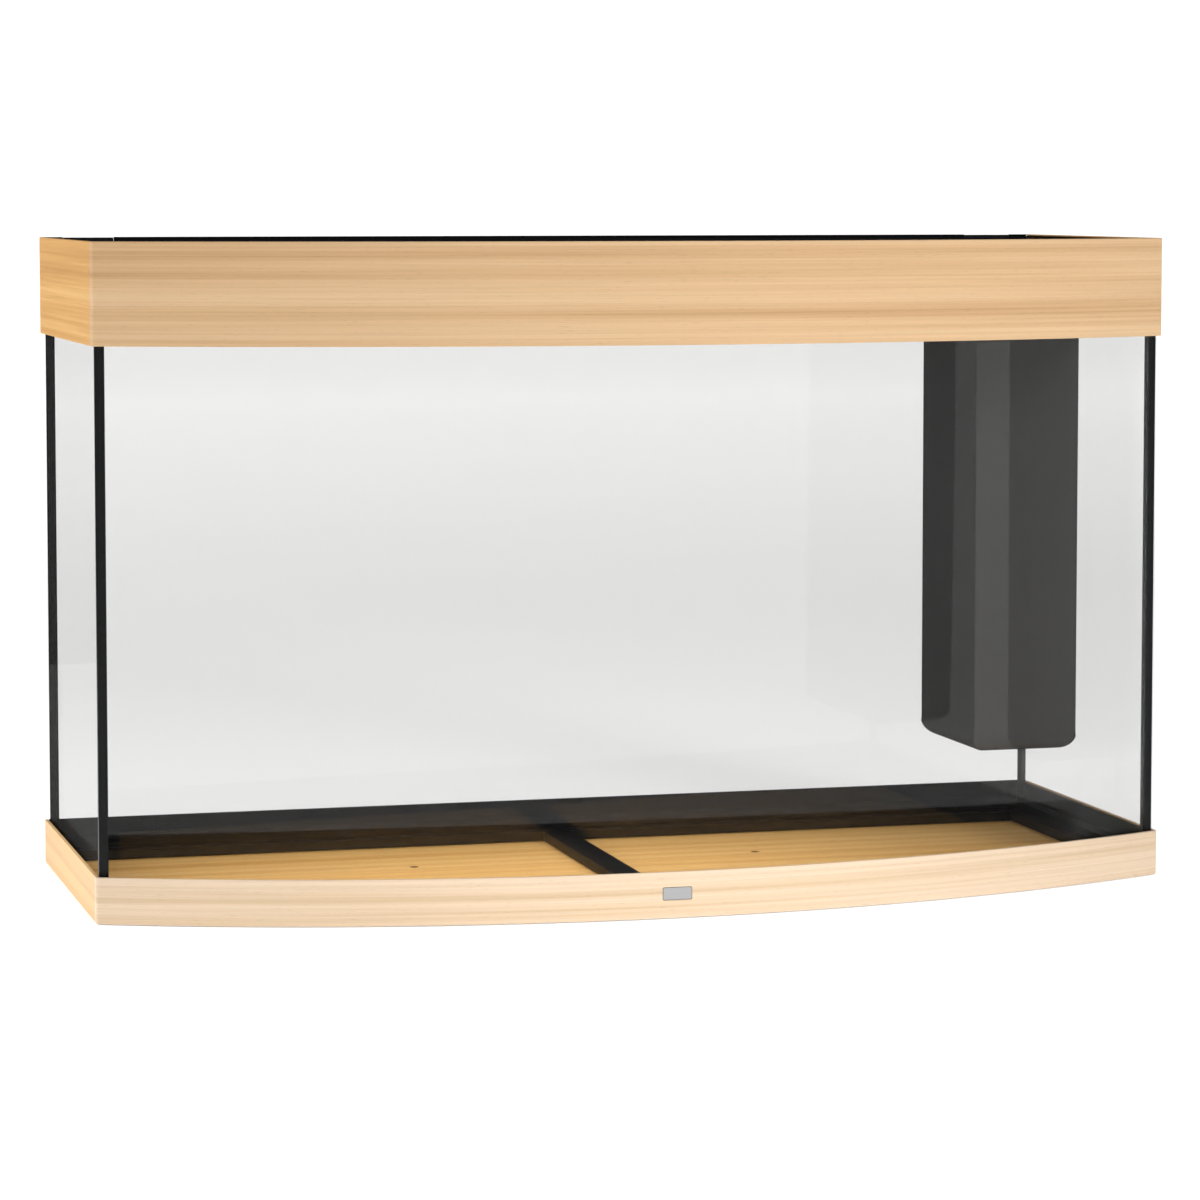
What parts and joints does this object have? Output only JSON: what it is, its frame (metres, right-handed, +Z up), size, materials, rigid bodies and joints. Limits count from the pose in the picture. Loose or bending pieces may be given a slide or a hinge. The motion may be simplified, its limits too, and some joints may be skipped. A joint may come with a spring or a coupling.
{
  "type": "bow-front aquarium",
  "caption": "Bow-front glass aquarium on a low base frame, with wood-decor bands, a lift-out light bar, hinged cover flaps and an internal corner filter.",
  "frame": {"origin": "middle of the underside, at the centre of the overall width and depth", "axes": "+Z up, the bowed front faces -Y, +X to the right seen from the front, so the filter stands in the +X +Y corner"},
  "size_m": [0.92, 0.41, 0.55],
  "materials": {
    "wood_decor": "light oak decor, satin",
    "black_plastic": "moulded, satin",
    "gloss_black": "gloss",
    "satin_silver": "satin",
    "clear_glass": "clear float glass",
    "black_silicone": "smooth",
    "steel": "drawn",
    "opal_plastic": "opal",
    "filter_foam": "open foam",
    "grey_plastic": "moulded",
    "rubber": "moulded",
    "white_plastic": "moulded",
    "ceramic": "polished",
    "blue_plastic": "moulded"
  },
  "bodies": {
    "tank": {"badge": "satin_silver", "base_panel_left": "wood_decor", "base_panel_right": "wood_decor", "base_rail_back": "black_plastic", "base_rail_front": "black_plastic", "base_rail_left": "black_plastic", "base_rail_right": "black_plastic", "base_strut": "black_plastic", "base_trim_back": "black_plastic", "base_trim_front": "wood_decor", "base_trim_left": "wood_decor", "base_trim_right": "wood_decor", "cover_rail_back": "black_plastic", "cover_rail_front": "black_plastic", "cover_rail_left": "black_plastic", "cover_rail_right": "black_plastic", "cover_trim_back": "black_plastic", "cover_trim_front": "wood_decor", "cover_trim_left": "wood_decor", "cover_trim_right": "wood_decor", "filter_basket_lower": "grey_plastic", "filter_basket_upper": "grey_plastic", "filter_box": "black_plastic", "filter_sponge_lower": "filter_foam", "filter_sponge_upper": "filter_foam", "glass_back": "clear_glass", "glass_brace": "clear_glass", "glass_floor": "clear_glass", "glass_front": "clear_glass", "glass_left": "clear_glass", "glass_right": "clear_glass", "heater_head": "black_plastic", "heater_tube": "clear_glass", "panel_plug_left": "black_plastic", "panel_plug_right": "black_plastic", "pump_chamber": "black_plastic", "pump_motor": "black_plastic", "pump_shaft": "ceramic", "seam_back_left": "black_silicone", "seam_back_right": "black_silicone", "seam_floor": "black_silicone", "seam_front_left": "black_silicone", "seam_front_right": "black_silicone"},
    "light_unit": {"light_bar_housing": "gloss_black", "light_bar_cover": "black_plastic", "led_driver": "grey_plastic", "lamp_socket_left": "black_plastic", "lamp_socket_right": "black_plastic", "led_tube_front": "opal_plastic", "led_tube_rear": "opal_plastic", "hinge_rod_front": "steel", "hinge_rod_rear": "steel", "light_cable_gland": "rubber"},
    "flap_front_left_lid": {"flap_front_left": "gloss_black"},
    "flap_front_right_lid": {"flap_front_right": "gloss_black"},
    "flap_rear_left_lid": {"flap_rear_left": "gloss_black"},
    "flap_rear_right_lid": {"flap_rear_right": "gloss_black"},
    "rotor": {"pump_rotor": "white_plastic"},
    "nozzle": {"outlet_nozzle": "black_plastic"},
    "dial": {"heater_dial": "blue_plastic"}
  },
  "joints": [
    {"name": "light_unit_lift", "type": "slide", "parent": "tank", "child": "light_unit", "axis": [0, 0, 1], "range_m": [0, 0.2]},
    {"name": "flap_front_left_hinge", "type": "hinge", "parent": "light_unit", "child": "flap_front_left_lid", "pos_m": [-0.2275, -0.042, 0.544], "axis": [-1, 0, 0], "range_deg": [0, 100]},
    {"name": "flap_front_right_hinge", "type": "hinge", "parent": "light_unit", "child": "flap_front_right_lid", "pos_m": [0.2275, -0.042, 0.544], "axis": [-1, 0, 0], "range_deg": [0, 100]},
    {"name": "flap_rear_left_hinge", "type": "hinge", "parent": "light_unit", "child": "flap_rear_left_lid", "pos_m": [-0.2275, 0.062, 0.544], "axis": [1, 0, 0], "range_deg": [0, 100]},
    {"name": "flap_rear_right_hinge", "type": "hinge", "parent": "light_unit", "child": "flap_rear_right_lid", "pos_m": [0.2275, 0.062, 0.544], "axis": [1, 0, 0], "range_deg": [0, 100]},
    {"name": "rotor_spin", "type": "hinge", "parent": "tank", "child": "rotor", "pos_m": [0.402, 0.139, 0.482], "axis": [0, 0, 1], "continuous": true},
    {"name": "nozzle_swivel", "type": "hinge", "parent": "tank", "child": "nozzle", "pos_m": [0.34, 0.15, 0.467], "axis": [1, 0, 0], "range_deg": [-45, 45]},
    {"name": "heater_dial_turn", "type": "hinge", "parent": "tank", "child": "dial", "pos_m": [0.376, 0.0705, 0.47], "axis": [0, 0, 1], "range_deg": [0, 270]}
  ]
}
